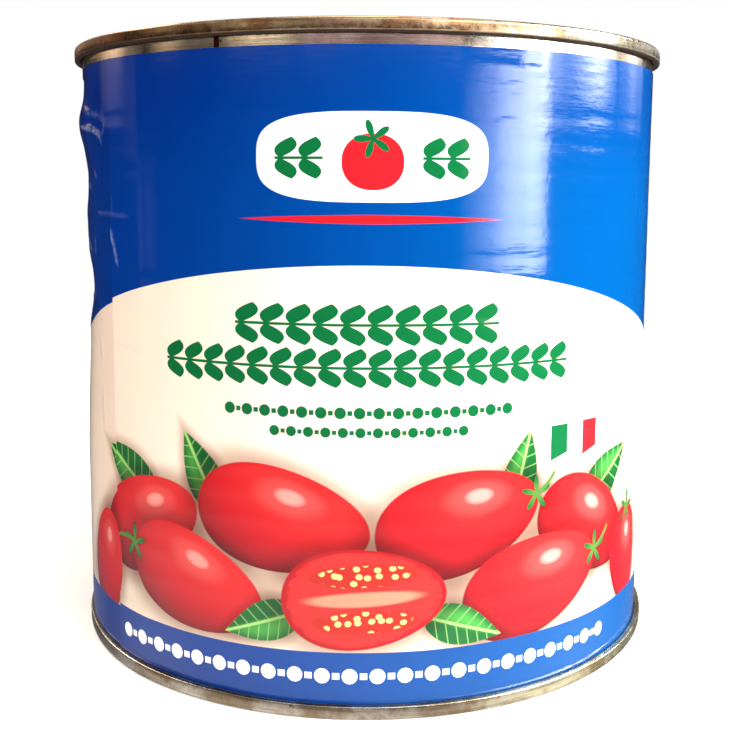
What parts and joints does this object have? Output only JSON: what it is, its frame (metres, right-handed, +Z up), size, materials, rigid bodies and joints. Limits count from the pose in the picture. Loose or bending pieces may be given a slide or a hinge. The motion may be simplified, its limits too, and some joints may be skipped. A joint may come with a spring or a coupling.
{
  "type": "tin of peeled tomatoes",
  "caption": "Large round catering tin, shut, with rolled seams at both ends and a lapped paper label with a picture of plum tomatoes; the left side is knocked in.",
  "frame": {"origin": "centre of the circle that the tin stands on", "axes": "+Z up along the tin's axis; the front of the label faces -Y, and +X is to the right as seen from the front"},
  "size_m": [0.1572, 0.1572, 0.152],
  "materials": {
    "lacquered_plate": "tinplate with a thin golden lacquer, smooth and glossy",
    "tinplate": "rolled tinplate gone brownish gold, with fine scratches and dull spots",
    "label_paper": "coated glossy paper printed in blue and off-white, creased at the left"
  },
  "bodies": {
    "root": {"can_body": "lacquered_plate", "top_end": "tinplate", "bottom_end": "tinplate", "paper_label": "label_paper"}
  },
  "joints": []
}
